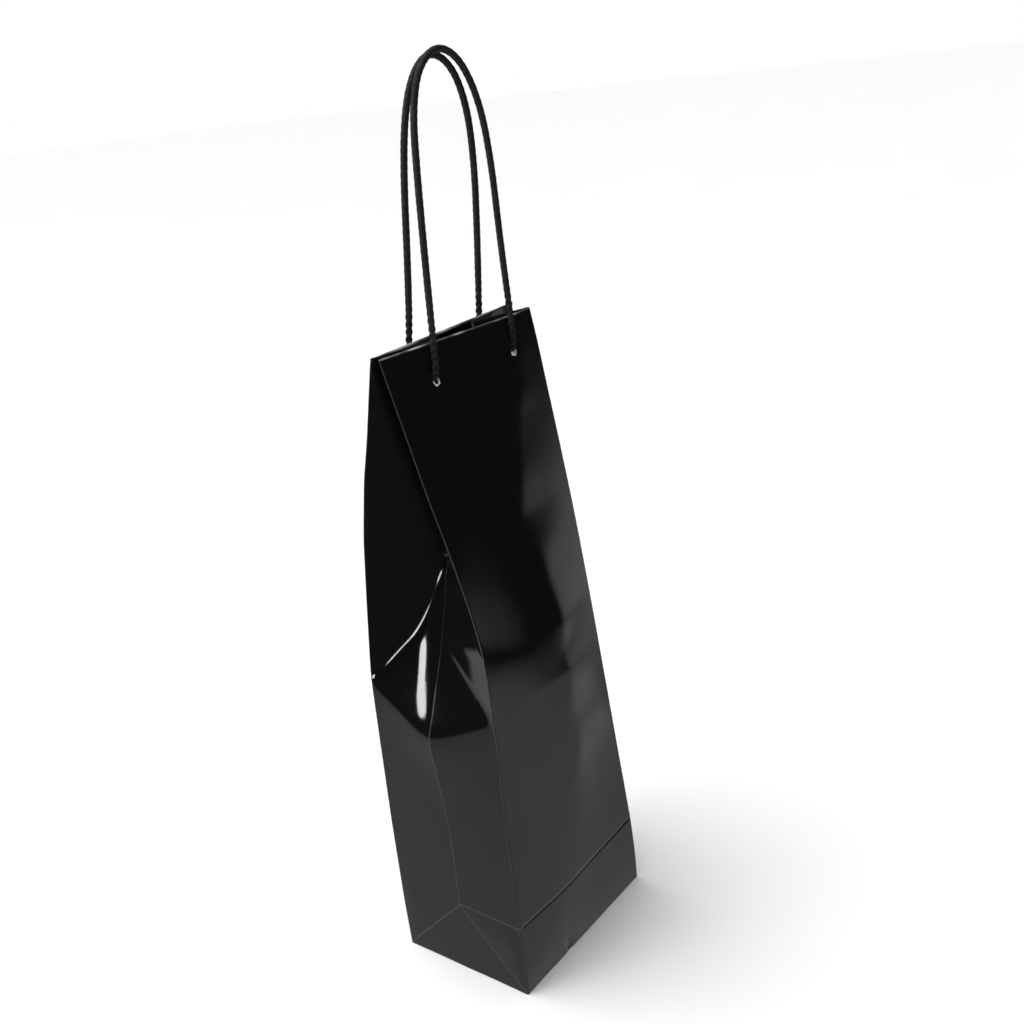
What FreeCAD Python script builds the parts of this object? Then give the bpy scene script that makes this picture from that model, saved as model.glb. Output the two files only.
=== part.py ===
import FreeCAD, Part
import math
import os
import re

import Sketcher
from FreeCAD import Matrix, Placement, Rotation, Vector

# Tall paper wine bag with rope handles. Frame: X along the width, front at -Y, Z up, origin at the
# middle of the flat underside. All sizes in millimetres. The lower half is a rectangular box; above the
# fold height the front and back lean in to an almost closed mouth and the sides fold inwards.

doc = FreeCAD.newDocument("wine_bag")
sheet = doc.addObject("Spreadsheet::Sheet", "sizes")

SIZES = [
    ("bagwidth", 113), ("bagdepth", 83), ("bagheight", 350), ("foldheight", 175),
    ("mouthgap", 9), ("paper", 0.35), ("board", 0.8), ("gap", 0.3),
    ("hemheight", 38), ("hemmargin", 2.5), ("gussetdepth", 3.5), ("gussethem", 26),
    ("holedrop", 18), ("holespacing", 59), ("holeshift", 3), ("holediameter", 4.4),
    ("ropediameter", 3.6), ("ropeoutset", 4),
    ("barlength", 14), ("barwidth", 4), ("barthickness", 1.2),
    ("flapreach", 54), ("flapchamfer", 24), ("sideflapreach", 40), ("sideflapend", 8),
    ("basethickness", 1.2), ("baselength", 109), ("basewidth", 79), ("basecorner", 3), ("baselevel", 1.4),
    ("glueflap", 15),
]
for row, (name, value) in enumerate(SIZES, start=1):
    sheet.set(f"A{row}", name)
    sheet.set(f"B{row}", str(value))
    sheet.setAlias(f"B{row}", name)
doc.recompute()
size = {name: float(sheet.get(name)) for name, value in SIZES}

slope = size["bagheight"] - size["foldheight"]
halfDepth = size["bagdepth"] / 2
halfWidth = size["bagwidth"] / 2
lean = math.asin((halfDepth - size["mouthgap"] / 2) / slope)
tilt = math.acos((1 - halfDepth / slope * math.sin(lean)) / math.cos(lean))
nodes = []


def ex(text):
    """The expression with every alias written as a cell of the sheet."""
    return re.sub(r"[a-z]+", lambda m: f"sizes.{m[0]}" if m[0] in size else m[0], text)


def origin(body, role):
    return next(o for o in body.Origin.OriginFeatures if o.Role == role)


def outline(body, plane, corners, holes=()):
    """A sketch on one of the body's own planes: a closed polygon and round holes, each corner tied to the sheet."""
    sketch = body.newObject("Sketcher::SketchObject", f"{body.Name}_outline")
    sketch.AttachmentSupport = (origin(body, plane), [""])
    sketch.MapMode = "FlatFace"
    for k, (u, v) in enumerate(corners):
        start = Vector(k, k * k * 0.1, 0)
        sketch.addGeometry(Part.LineSegment(start, Vector(k + 1, (k + 1) ** 2 * 0.1, 0)), False)
    count = len(corners)
    for k in range(count):
        sketch.addConstraint(Sketcher.Constraint("Coincident", k, 2, (k + 1) % count, 1))
    for k, (u, v) in enumerate(corners):
        for kind, text in (("DistanceX", u), ("DistanceY", v)):
            n = sketch.addConstraint(Sketcher.Constraint(kind, -1, 1, k, 1, 1.0 + k))
            sketch.setExpression(f"Constraints[{n}]", ex(text))
    for k, (u, v, diameter) in enumerate(holes):
        g = sketch.addGeometry(Part.Circle(Vector(30 + 60 * k, 30, 0), Vector(0, 0, 1), 2), False)
        for kind, text in (("DistanceX", u), ("DistanceY", v)):
            n = sketch.addConstraint(Sketcher.Constraint(kind, -1, 1, g, 3, 1.0))
            sketch.setExpression(f"Constraints[{n}]", ex(text))
        n = sketch.addConstraint(Sketcher.Constraint("Diameter", g, 4.0))
        sketch.setExpression(f"Constraints[{n}]", ex(diameter))
    return sketch


def plate(name, plane, corners, thickness, placement, holes=(), flip=False):
    """A flat sheet of paper or board: an outline given a thickness, then put in its place."""
    body = doc.addObject("PartDesign::Body", name)
    body.Label = name
    pad = body.newObject("PartDesign::Pad", f"{name}_pad")
    pad.Profile = outline(body, plane, corners, holes)
    pad.setExpression("Length", ex(thickness))
    pad.Reversed = flip
    body.Placement = placement
    body.Tip = pad
    nodes.append(body)
    return body


def frame(point, xAxis, yAxis, zAxis):
    m = Matrix(
        xAxis.x, yAxis.x, zAxis.x, point.x,
        xAxis.y, yAxis.y, zAxis.y, point.y,
        xAxis.z, yAxis.z, zAxis.z, point.z,
        0, 0, 0, 1,
    )
    return Placement(m)


def rectangle(u0, v0, u1, v1):
    return [(u0, v0), (u1, v0), (u1, v1), (u0, v1)]


def upright(x, y, z):
    return Placement(Vector(x, y, z), Rotation())


# Lower box: four upright walls. The front and back walls run the full width, the sides fit between them.
for name, side in (("wall_front", -1), ("wall_back", 1)):
    plate(name, "XZ_Plane", rectangle("-bagwidth / 2", "0", "bagwidth / 2", "foldheight"), "paper",
          upright(0, side * halfDepth, 0), flip=side < 0)
for name, side in (("wall_left", -1), ("wall_right", 1)):
    plate(name, "YZ_Plane",
          rectangle("-bagdepth / 2 + paper", "0", "bagdepth / 2 - paper", "foldheight"), "paper",
          upright(side * halfWidth, 0, 0), flip=side > 0)

# Base: two long flaps over each other and two side flaps above them.
longEnd, longEdge = "bagwidth / 2 - paper", "bagdepth / 2 - paper"
for name, side, level in (("base_flap_back", 1, 0), ("base_flap_front", -1, size["paper"])):
    plate(name, "XY_Plane", [
        (f"-({longEnd})", f"{side} * ({longEdge})"),
        (longEnd, f"{side} * ({longEdge})"),
        (longEnd, f"{side} * ({longEdge} - flapreach + flapchamfer)"),
        (f"{longEnd} - flapchamfer", f"{side} * ({longEdge} - flapreach)"),
        (f"-({longEnd}) + flapchamfer", f"{side} * ({longEdge} - flapreach)"),
        (f"-({longEnd})", f"{side} * ({longEdge} - flapreach + flapchamfer)"),
    ], "paper", upright(0, 0, level))
for name, side in (("base_flap_left", -1), ("base_flap_right", 1)):
    plate(name, "XY_Plane", [
        (f"{side} * ({longEnd})", f"-({longEdge})"),
        (f"{side} * ({longEnd})", longEdge),
        (f"{side} * ({longEnd} - sideflapreach)", "sideflapend"),
        (f"{side} * ({longEnd} - sideflapreach)", "-sideflapend"),
    ], "paper", upright(0, 0, 2 * size["paper"]))

# Glue flap of the side seam, on the inner face of the back wall at the left corner.
plate("glue_flap_lower", "XZ_Plane",
      rectangle("-bagwidth / 2 + paper", "baselevel", "-bagwidth / 2 + paper + glueflap", "foldheight"), "paper",
      upright(0, halfDepth - size["paper"], 0))

# Loose card in the bottom that stiffens the base.
base = doc.addObject("Part::Box", "bottom_board")
base.Label = "bottom_board"
for prop, cell in (("Length", "baselength"), ("Width", "basewidth"), ("Height", "basethickness")):
    base.setExpression(prop, ex(cell))
base.Placement = upright(-size["baselength"] / 2, -size["basewidth"] / 2, size["baselevel"])
doc.recompute()
card = doc.addObject("Part::Fillet", "bottom_board_rounded")
card.Base = base
card.Edges = [
    (n, size["basecorner"], size["basecorner"])
    for n, edge in enumerate(base.Shape.Edges, start=1)
    if abs(edge.tangentAt(edge.FirstParameter).z) > 0.99
]
base.Label, card.Label = "bottom_board_blank", "bottom_board"
nodes.append(card)

# Leaning panels, each with a stiffener board behind its top edge and a turned-in hem over it, all punched for
# the rope.
for name, side in (("front", -1), ("back", 1)):
    up = Vector(0, -side * math.sin(lean), math.cos(lean))
    inward = Vector(0, -side * math.cos(lean), -math.sin(lean))
    across = Vector(1, 0, 0)
    foot = Vector(0, side * halfDepth, size["foldheight"])
    # The local Z of a plate runs up the slope; a pad grows towards the inside of the bag.
    local = frame(foot, across, up.cross(across), up)
    inside = local.Rotation.multVec(Vector(0, 1, 0)).dot(inward) > 0
    rise = "bagheight - foldheight"
    punched = [
        (f"holeshift + {s} * holespacing / 2", f"{rise} - holedrop", "holediameter") for s in (-1, 1)
    ]

    def layer(node, corners, thickness, depth, holes, foot=foot, inward=inward, local=local, inside=inside):
        placed = Placement(foot + inward * depth, local.Rotation)
        plate(node, "XZ_Plane", corners, thickness, placed, holes, flip=inside)

    layer(f"panel_{name}", rectangle("-bagwidth / 2", "gap", "bagwidth / 2", rise), "paper", 0, punched)
    layer(f"stiffener_{name}",
          rectangle("-bagwidth / 2 + hemmargin + 0.5", f"{rise} - hemheight + 2", "bagwidth / 2 - hemmargin - 0.5",
                    f"{rise} - 0.6"),
          "board", size["paper"], punched)
    layer(f"hem_{name}",
          rectangle("-bagwidth / 2 + hemmargin", f"{rise} - hemheight", "bagwidth / 2 - hemmargin", rise),
          "paper", size["paper"] + size["board"], punched)
    if side > 0:
        layer("glue_flap_upper",
              rectangle("-bagwidth / 2 + paper", "gap", "-bagwidth / 2 + paper + glueflap", f"{rise} - hemheight - 1"),
              "paper", size["paper"], [])
    # Flat bars that hold the rope ends behind the stiffener.
    for end, s in (("left", -1), ("right", 1)):
        bar = doc.addObject("Part::Box", f"rope_bar_{name}_{end}")
        bar.Label = f"rope_bar_{name}_{end}"
        for prop, cell in (("Length", "barwidth"), ("Width", "barthickness"), ("Height", "barlength")):
            bar.setExpression(prop, ex(cell))
        depth = 2 * size["paper"] + size["board"] + (0 if inside else size["barthickness"])
        height = slope - size["holedrop"] - size["barlength"] / 2
        corner = foot + inward * depth + up * height
        corner.x = size["holeshift"] + s * size["holespacing"] / 2 - size["barwidth"] / 2
        bar.Placement = Placement(corner, local.Rotation)
        nodes.append(bar)

# Folded sides: a tilted triangle in the middle of each side, a narrow facet along each panel, the turned-in
# hem of that facet, and the upright fold strip that joins the facet to the panel.
for side, s in (("left", -1), ("right", 1)):
    foot = Vector(s * halfWidth, 0, size["foldheight"])
    tilted = Placement(foot, Rotation(Vector(0, 1, 0), -s * math.degrees(tilt)))
    plate(f"gusset_{side}", "YZ_Plane", [
        ("-bagdepth / 2 + 3", "gap * 2"),
        ("bagdepth / 2 - 3", "gap * 2"),
        ("bagdepth / 2 - 3.4", "4"),
        ("0.35", "bagheight - foldheight - 5"),
        ("-0.35", "bagheight - foldheight - 5"),
        ("-bagdepth / 2 + 3.4", "4"),
    ], "paper", tilted, flip=s > 0)
    for end, e in (("front", -1), ("back", 1)):
        up = Vector(0, -e * math.sin(lean), math.cos(lean))
        inward = Vector(0, -e * math.cos(lean), -math.sin(lean))
        edge = Vector(s * (halfWidth - 0.4), e * halfDepth, size["foldheight"]) + inward * size["gussetdepth"]
        top = Vector(s * (halfWidth - slope * math.sin(tilt)), e * 0.25, size["foldheight"] + slope * math.cos(tilt))
        across = top - (edge + up * slope)
        across = across - up * across.dot(up)
        across.normalize()
        # Local X runs from the panel's edge to the centre crease, local Z up the edge.
        facing = up.cross(across)
        local = frame(edge, across, facing, up)
        toPanel = facing.dot(inward) < 0
        plate(f"facet_{side}_{end}", "XZ_Plane", [
            ("0", "12"),
            ("1.2", "12"),
            ("bagdepth / 2 - 2.6", "bagheight - foldheight - 2"),
            ("0", "bagheight - foldheight - 2"),
        ], "paper", local, flip=toPanel)
        shift = facing * (size["paper"] if toPanel else -size["paper"])
        plate(f"facet_hem_{side}_{end}", "XZ_Plane", [
            ("3", "bagheight - foldheight - gussethem"),
            ("bagdepth / 2 - 12", "bagheight - foldheight - gussethem"),
            ("bagdepth / 2 - 6", "bagheight - foldheight - 2"),
            ("3", "bagheight - foldheight - 2"),
        ], "paper", Placement(edge + shift, local.Rotation), flip=toPanel)
        strip = Vector(s * halfWidth, e * halfDepth, size["foldheight"]) + inward * (size["paper"] + size["gap"])
        turned = frame(strip, inward.cross(up), inward, up)
        plate(f"fold_{side}_{end}", "YZ_Plane",
              rectangle("0", "4", "gussetdepth - paper * 2 - gap * 2", "bagheight - foldheight - 2"), "paper",
              turned, flip=turned.Rotation.multVec(Vector(1, 0, 0)).x * s > 0)


# Rope handles: each comes out of its panel's two holes and stands up to a rounded grip over the mouth.
def route(points, radii):
    """A path of straight runs joined by tangent arcs, one radius per inner corner."""
    edges, start = [], points[0]
    for before, corner, after, radius in zip(points, points[1:], points[2:], radii):
        a, b = (before - corner).normalize(), (after - corner).normalize()
        half = a.getAngle(b) / 2
        reach = radius / math.tan(half)
        middle = corner + (a + b).normalize() * (radius / math.sin(half) - radius)
        first, last = corner + a * reach, corner + b * reach
        edges.append(Part.LineSegment(start, first).toShape())
        edges.append(Part.Arc(first, middle, last).toShape())
        start = last
    edges.append(Part.LineSegment(start, points[-1]).toShape())
    return Part.Wire(edges)


def onPanel(side, x, depth, height):
    up = Vector(0, -side * math.sin(lean), math.cos(lean))
    inward = Vector(0, -side * math.cos(lean), -math.sin(lean))
    return Vector(x, side * halfDepth, size["foldheight"]) + inward * depth + up * height


# World points of the grip from the top edge on the left to the top edge on the right: x, distance from the
# middle plane, z.
GRIPS = {
    "front": [(-24.7, 7.2, 348), (-18.6, 5, 420), (-14.6, 3.6, 448), (-6, 2.6, 467), (9, 2.4, 476),
              (25, 2.6, 469), (34.8, 3.6, 448), (36.4, 5, 418), (34.2, 7.2, 348)],
    "back": [(-23.6, 7.2, 348), (-16.8, 5, 420), (-12.4, 3.6, 447), (-4, 2.6, 465.5), (10, 2.4, 474),
             (25, 2.6, 466), (33.8, 3.6, 446), (35.6, 5, 418), (31, 7.2, 348)],
}
for name, side in (("front", -1), ("back", 1)):
    height = slope - size["holedrop"]
    inner = size["paper"] * 2 + size["board"] - 0.1
    left, right = (size["holeshift"] + s * size["holespacing"] / 2 for s in (-1, 1))
    points = [onPanel(side, left, inner, height), onPanel(side, left, -size["ropeoutset"], height)]
    points += [Vector(x, side * y, z) for x, y, z in GRIPS[name]]
    points += [onPanel(side, right, -size["ropeoutset"], height), onPanel(side, right, inner, height)]
    radii = []
    for k in range(1, len(points) - 1):
        a, b = points[k - 1] - points[k], points[k + 1] - points[k]
        turn = math.pi - a.getAngle(b)
        radius = 0.45 * min(a.Length, b.Length) / math.tan(turn / 2)
        # At a hole the rope turns tightly over the paper's edge.
        if k in (1, len(points) - 2):
            radius = size["ropediameter"]
        radii.append(radius)
    path = route(points, radii)
    section = Part.Wire(Part.Circle(points[0], points[1] - points[0], size["ropediameter"] / 2).toShape())
    tube = path.makePipeShell([section], True, True)
    rope = doc.addObject("Part::Feature", f"rope_{name}")
    rope.Label = f"rope_{name}"
    rope.Shape = tube
    nodes.append(rope)
    expected = math.pi * size["ropediameter"] ** 2 / 4 * path.Length
    print(f"rope_{name}: length {path.Length:.1f} mm, volume / (section x length) {tube.Volume / expected:.4f}")
    print("  radii", [round(r, 1) for r in radii])

doc.recompute()
for item in doc.Objects:
    if "Invalid" in item.State or "Error" in item.State:
        raise RuntimeError(f"{item.Name}: {item.State}")
os.makedirs("parts", exist_ok=True)
for item in nodes:
    shape = item.Shape
    if shape.isNull() or not shape.isValid() or shape.Volume <= 0:
        raise RuntimeError(f"{item.Label} has no valid solid")
    shape.exportStep(f"parts/{item.Label}.step")
    box = shape.BoundBox
    print(f"{item.Label:22s} volume {shape.Volume:9.1f}  x {box.XMin:7.2f} {box.XMax:7.2f}  "
          f"y {box.YMin:7.2f} {box.YMax:7.2f}  z {box.ZMin:7.2f} {box.ZMax:7.2f}")
print(f"{len(nodes)} parts, lean {math.degrees(lean):.3f} degrees, tilt {math.degrees(tilt):.3f} degrees")
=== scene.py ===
import bpy
import bmesh
import math
import numpy as np
from mathutils import Euler, Matrix, Vector


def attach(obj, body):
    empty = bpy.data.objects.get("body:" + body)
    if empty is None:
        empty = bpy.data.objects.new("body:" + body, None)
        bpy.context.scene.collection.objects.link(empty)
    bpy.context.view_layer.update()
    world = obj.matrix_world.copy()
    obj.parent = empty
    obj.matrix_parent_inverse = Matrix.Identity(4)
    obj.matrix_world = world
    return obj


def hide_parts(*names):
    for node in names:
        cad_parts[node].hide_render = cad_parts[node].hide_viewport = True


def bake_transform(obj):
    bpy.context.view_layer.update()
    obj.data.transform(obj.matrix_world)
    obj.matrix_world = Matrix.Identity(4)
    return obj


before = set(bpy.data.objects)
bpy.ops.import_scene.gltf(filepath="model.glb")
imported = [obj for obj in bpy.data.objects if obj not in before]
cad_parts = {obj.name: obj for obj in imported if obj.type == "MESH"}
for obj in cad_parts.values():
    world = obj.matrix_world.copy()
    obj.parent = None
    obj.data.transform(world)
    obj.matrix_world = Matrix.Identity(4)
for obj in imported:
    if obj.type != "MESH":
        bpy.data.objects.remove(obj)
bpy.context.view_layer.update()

mm = 0.001


def noSelection():
    if bpy.context.object and bpy.context.object.mode != "OBJECT":
        bpy.ops.object.mode_set(mode="OBJECT")
    bpy.ops.object.select_all(action="DESELECT")


def pick(piece):
    noSelection()
    piece.select_set(True)
    bpy.context.view_layer.objects.active = piece


# camera

view = {
    "place": (-0.43439, -0.37277, 0.45729),
    "turn": (69.8182, 6.1254, -53.3718),
    "lens": 41.3775,
}
cameraData = bpy.data.cameras.new("camera")
cameraData.lens = view["lens"]
cameraData.sensor_width = 36
cameraData.clip_start = 0.01
camera = bpy.data.objects.new("camera", cameraData)
camera.location = view["place"]
camera.rotation_euler = Euler([math.radians(a) for a in view["turn"]], "XYZ")
bpy.context.scene.collection.objects.link(camera)
bpy.context.scene.camera = camera
print("camera placed")


# shader helpers

class Wire:
    def __init__(self, recipe, socket):
        self.recipe, self.socket = recipe, socket

    def maths(self, operation, first, second=0.0):
        return self.recipe.node("ShaderNodeMath", {"operation": operation}, {0: first, 1: second})

    def __add__(self, other):
        return self.maths("ADD", self, other)

    def __radd__(self, other):
        return self.maths("ADD", other, self)

    def __sub__(self, other):
        return self.maths("SUBTRACT", self, other)

    def __rsub__(self, other):
        return self.maths("SUBTRACT", other, self)

    def __mul__(self, other):
        return self.maths("MULTIPLY", self, other)

    def __rmul__(self, other):
        return self.maths("MULTIPLY", other, self)

    def __truediv__(self, other):
        return self.maths("DIVIDE", self, other)

    def greatest(self, other):
        return self.maths("MAXIMUM", self, other)

    def sine(self):
        return self.maths("SINE", self)


class Recipe:
    def __init__(self, owner):
        # the owner is a new material or the world
        self.owner = owner
        owner.use_nodes = True
        self.tree = owner.node_tree
        self.tree.nodes.clear()

    def node(self, kind, settings=None, values=None, out=0):
        made = self.tree.nodes.new(kind)
        for key, value in (settings or {}).items():
            if key == "stops":
                while len(made.color_ramp.elements) < len(value):
                    made.color_ramp.elements.new(0.5)
                for stop, (place, grey) in zip(made.color_ramp.elements, value):
                    stop.position, stop.color = place, (grey, grey, grey, 1)
            else:
                setattr(made, key, value)
        for key, value in (values or {}).items():
            if isinstance(value, Wire):
                self.tree.links.new(value.socket, made.inputs[key])
            else:
                made.inputs[key].default_value = value
        return Wire(self, made.outputs[out]) if len(made.outputs) else None

    def place(self):
        return self.node("ShaderNodeTexCoord", out="Object")

    def paper(self):
        return self.node("ShaderNodeUVMap", {"uv_map": "paper"})

    def noise(self, where, scale, detail=3.0, rough=0.5, stretch=None):
        if stretch:
            where = self.node("ShaderNodeMapping", {}, {"Vector": where, "Scale": stretch})
        return self.node("ShaderNodeTexNoise", {"noise_dimensions": "3D"},
                         {"Vector": where, "Scale": scale, "Detail": detail, "Roughness": rough})

    def band(self, value, low, high, atLow=0.0, atHigh=1.0):
        return self.node("ShaderNodeMapRange", {"interpolation_type": "SMOOTHSTEP"},
                         {"Value": value, "From Min": low, "From Max": high,
                          "To Min": atLow, "To Max": atHigh})

    def tint(self, factor, first, second):
        made = self.tree.nodes.new("ShaderNodeMix")
        made.data_type = "RGBA"
        for key, value in ((0, factor), (6, first), (7, second)):
            if isinstance(value, Wire):
                self.tree.links.new(value.socket, made.inputs[key])
            elif key == 0:
                made.inputs[key].default_value = value
            else:
                made.inputs[key].default_value = tuple(value) + (1,)
        return Wire(self, made.outputs[2])

    def line(self, where, start, end, width):
        # 1 on a straight pressed line between two points of the sheet, 0 beside it
        along = (end[0] - start[0], end[1] - start[1], 0)
        offset = self.node("ShaderNodeVectorMath", {"operation": "SUBTRACT"}, {0: where, 1: (*start, 0)})
        share = self.node("ShaderNodeVectorMath", {"operation": "DOT_PRODUCT"},
                          {0: offset, 1: along}, "Value")
        share = self.node("ShaderNodeClamp", {}, {"Value": share / (along[0] ** 2 + along[1] ** 2)})
        foot = self.node("ShaderNodeVectorMath", {"operation": "SCALE"}, {0: along, "Scale": share})
        gap = self.node("ShaderNodeVectorMath", {"operation": "DISTANCE"}, {0: offset, 1: foot}, "Value")
        return self.band(gap, 0, width, 1, 0)

    def bump(self, height, distance, strength=1.0, under=None):
        values = {"Height": height, "Distance": distance, "Strength": strength}
        if under:
            values["Normal"] = under
        return self.node("ShaderNodeBump", {}, values)

    def surface(self, values):
        body = self.node("ShaderNodeBsdfPrincipled", {}, values)
        self.node("ShaderNodeOutputMaterial", {}, {"Surface": body})
        return self.owner


# ink is the film's own black; the grey after it is a painted highlight laid along the fold and crease lines,
# partly film stressed grey at the fold, and it also tints a few real random specks
film = {"ink": (0.0042, 0.0043, 0.0052), "wearAndSheen": (0.032, 0.032, 0.034),
        # the pale grey is a painted highlight for patches along the top fold
        "rubAndHighlight": (0.42, 0.42, 0.43), "gloss": 0.075}


def filmPaper(name, creases=(), sheenAndWearStrength=1.0, highlitRubbedEdge=None):
    r = Recipe(bpy.data.materials.new(name))
    where, flat = r.place(), r.paper()
    wave = r.noise(where, 22, 2, 0.4)
    grain = r.noise(where, 900, 2, 0.6)
    rubAndSheenNoise = r.noise(where, 140, 4, 0.65)
    pressed = None
    for start, end, width in creases:
        one = r.line(flat, start, end, width)
        pressed = one if pressed is None else pressed.greatest(one)
    speck = r.band(r.noise(where, 420, 2, 0.7), 0.72, 0.8)
    wearAndSheen = speck * 0.05
    # the pressed fold and crease lines are painted lighter: painted highlight along the folds, partly film
    # stressed grey at the fold; the specks are random real marks
    if pressed is not None:
        wearAndSheen = r.node("ShaderNodeClamp", {}, {"Value": pressed * sheenAndWearStrength * (0.35 + rubAndSheenNoise * 0.75) + wearAndSheen})
    colour = r.tint(wearAndSheen, film["ink"], film["wearAndSheen"])
    if highlitRubbedEdge:
        # painted highlight along this edge, laid on in patches where the film looks rubbed through to paper
        patch = r.band(r.noise(where, 38, 3, 0.6), 0.42, 0.62, 0.08, 1)
        colour = r.tint(r.line(flat, *highlitRubbedEdge) * patch, colour, film["rubAndHighlight"])
    gloss = film["gloss"] + 0.05 * (rubAndSheenNoise - 0.5) + wearAndSheen * 0.25
    normal = r.bump(wave, 0.0009, 0.35)
    normal = r.bump(grain, 0.00002, 0.3, normal)
    if pressed is not None:
        normal = r.bump(pressed, 0.0003, -0.8, normal)
    return r.surface({"Base Color": colour, "Roughness": gloss, "IOR": 1.5, "Normal": normal})


def plainPaper(name, colour, second, scale=260):
    r = Recipe(bpy.data.materials.new(name))
    where = r.place()
    pulp = r.noise(where, scale, 5, 0.7)
    fibre = r.noise(where, 900, 3, 0.6, (1, 1, 0.25))
    return r.surface({
        "Base Color": r.tint(r.band(pulp, 0.35, 0.7), colour, second),
        "Roughness": 0.72 + 0.15 * fibre,
        "Normal": r.bump(fibre, 0.00005, 0.5),
    })


def boardStock(name):
    r = Recipe(bpy.data.materials.new(name))
    where = r.place()
    pulp = r.noise(where, 120, 6, 0.7)
    fleck = r.band(r.noise(where, 700, 2, 0.8), 0.66, 0.74)
    base = r.tint(r.band(pulp, 0.3, 0.7), (0.36, 0.345, 0.32), (0.46, 0.445, 0.41))
    return r.surface({
        "Base Color": r.tint(fleck * 0.7, base, (0.16, 0.15, 0.14)),
        "Roughness": 0.8 + 0.1 * pulp,
        "Normal": r.bump(pulp, 0.0001, 0.4),
    })


def cordYarn(name):
    r = Recipe(bpy.data.materials.new(name))
    flat = r.paper()
    around = r.node("ShaderNodeSeparateXYZ", {}, {0: flat}, "X")
    along = r.node("ShaderNodeSeparateXYZ", {}, {0: flat}, "Y")
    where = r.place()
    fuzz = r.noise(where, 1600, 3, 0.7)
    # yarn is the twist pattern; the colour below follows it as the bump's height: painted shade darkens the
    # grooves between yarns and the crests are painted lighter
    yarn = (around * (2 * math.pi * 7) + along * 5200 + fuzz * 1.5).sine() * 0.5 + 0.5
    patch = r.noise(where, 90, 3, 0.6)
    return r.surface({
        "Base Color": r.tint(yarn * 0.6 + fuzz * 0.4, (0.0018, 0.0017, 0.002), (0.0095, 0.009, 0.0095)),
        "Roughness": 0.62 + 0.2 * patch,
        "Sheen Weight": 0.035, "Sheen Roughness": 0.4, "Sheen Tint": (0.5, 0.5, 0.52, 1),
        "Normal": r.bump(fuzz, 0.0001, 0.4, r.bump(yarn, 0.00018, 0.8)),
    })


def mouldedPlastic(name):
    r = Recipe(bpy.data.materials.new(name))
    where = r.place()
    grain = r.noise(where, 800, 3, 0.6)
    flow = r.noise(where, 60, 2, 0.5)
    return r.surface({
        "Base Color": r.tint(flow, (0.014, 0.014, 0.015), (0.028, 0.028, 0.029)),
        "Roughness": 0.38 + 0.15 * grain,
        "Normal": r.bump(grain, 0.00004, 0.4),
    })


def floorPaint(name):
    r = Recipe(bpy.data.materials.new(name))
    mottle = r.noise(r.place(), 3, 3, 0.5)
    return r.surface({
        "Base Color": r.tint(mottle, (0.80, 0.80, 0.805), (0.83, 0.83, 0.83)),
        "Roughness": 0.55 + 0.1 * mottle,
    })


# the bag's outline: its four upright folds, measured along the paper from the base

bag = {
    "width": 113, "depth": 83, "height": 350, "fold": 175, "baseFold": 42.5,
    "paper": 0.35, "board": 0.8, "panelHem": 1.5, "gussetHem": 0.8, "hem": 38, "cornerRound": 0.6,
    "frontLeft": [(-56.5, -41.5, 0), (-56.5, -42.2, 12), (-56.5, -41.6, 41), (-56.5, -41.3, 111),
                  (-56.5, -41.9, 150), (-56.5, -41.3, 190), (-56.5, -40.4, 206), (-56.5, -38.3, 216),
                  (-56.5, -34, 233.7), (-56.5, -26, 260.4), (-56.5, -19.7, 279.5), (-56.5, -1, 345)],
    "frontRight": [(56.5, -41.5, 0), (56.5, -42, 12), (56.5, -40.6, 40), (56.5, -38, 66), (56.5, -35.3, 93),
                   (56.5, -32.8, 119), (56.5, -30.3, 144), (56.5, -27.9, 168.8), (56.5, -25.4, 193),
                   (56.5, -22.8, 216.7), (56.5, -20.1, 239.8), (56.5, -17, 262.5), (56.5, -13.9, 284.7),
                   (56.5, -10.6, 306.6), (56.5, -7.7, 328), (56.5, -4.5, 345.6)],
    "backLeft": [(-56.5, 41.5, 0), (-56.5, 42.2, 29), (-56.5, 41.8, 83), (-56.5, 40.4, 134.5),
                 (-56.5, 39.3, 171), (-56.5, 37.9, 183.2), (-56.5, 33.1, 218.5), (-56.5, 28.2, 252.2),
                 (-56.5, 21.2, 284.6), (-56.5, 14.9, 305.4), (-56.5, 9.8, 325.3), (-56.5, 4.6, 345.3)],
    "backRight": [(56.5, 41.5, 0), (56.5, 42.2, 30), (56.5, 42.4, 90), (56.5, 41.8, 140), (56.5, 39.6, 175),
                  (56.5, 34.8, 210), (56.5, 27.6, 250), (56.5, 19.6, 290), (56.5, 12, 322), (56.5, 7, 348)],
    "creaseLeft": [(-56.5, 0, 0), (-56.6, -1.2, 47), (-56.6, -1.8, 88), (-56.8, 0, 113), (-57.8, 0.8, 130),
                   (-59.4, 1, 143), (-59.2, 0.6, 149), (-56.8, 0.2, 155), (-48.9, 0, 174), (-41.8, 0, 190.4),
                   (-34.9, 0, 211.5), (-31.2, 0, 225), (-27.7, 0, 234.5), (-24.2, 0.5, 262),
                   (-20.6, 1, 290), (-17.5, 1.4, 318), (-15.2, 1.7, 345)],
}
halfWidth, halfDepth = bag["width"] / 2, bag["depth"] / 2


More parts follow.
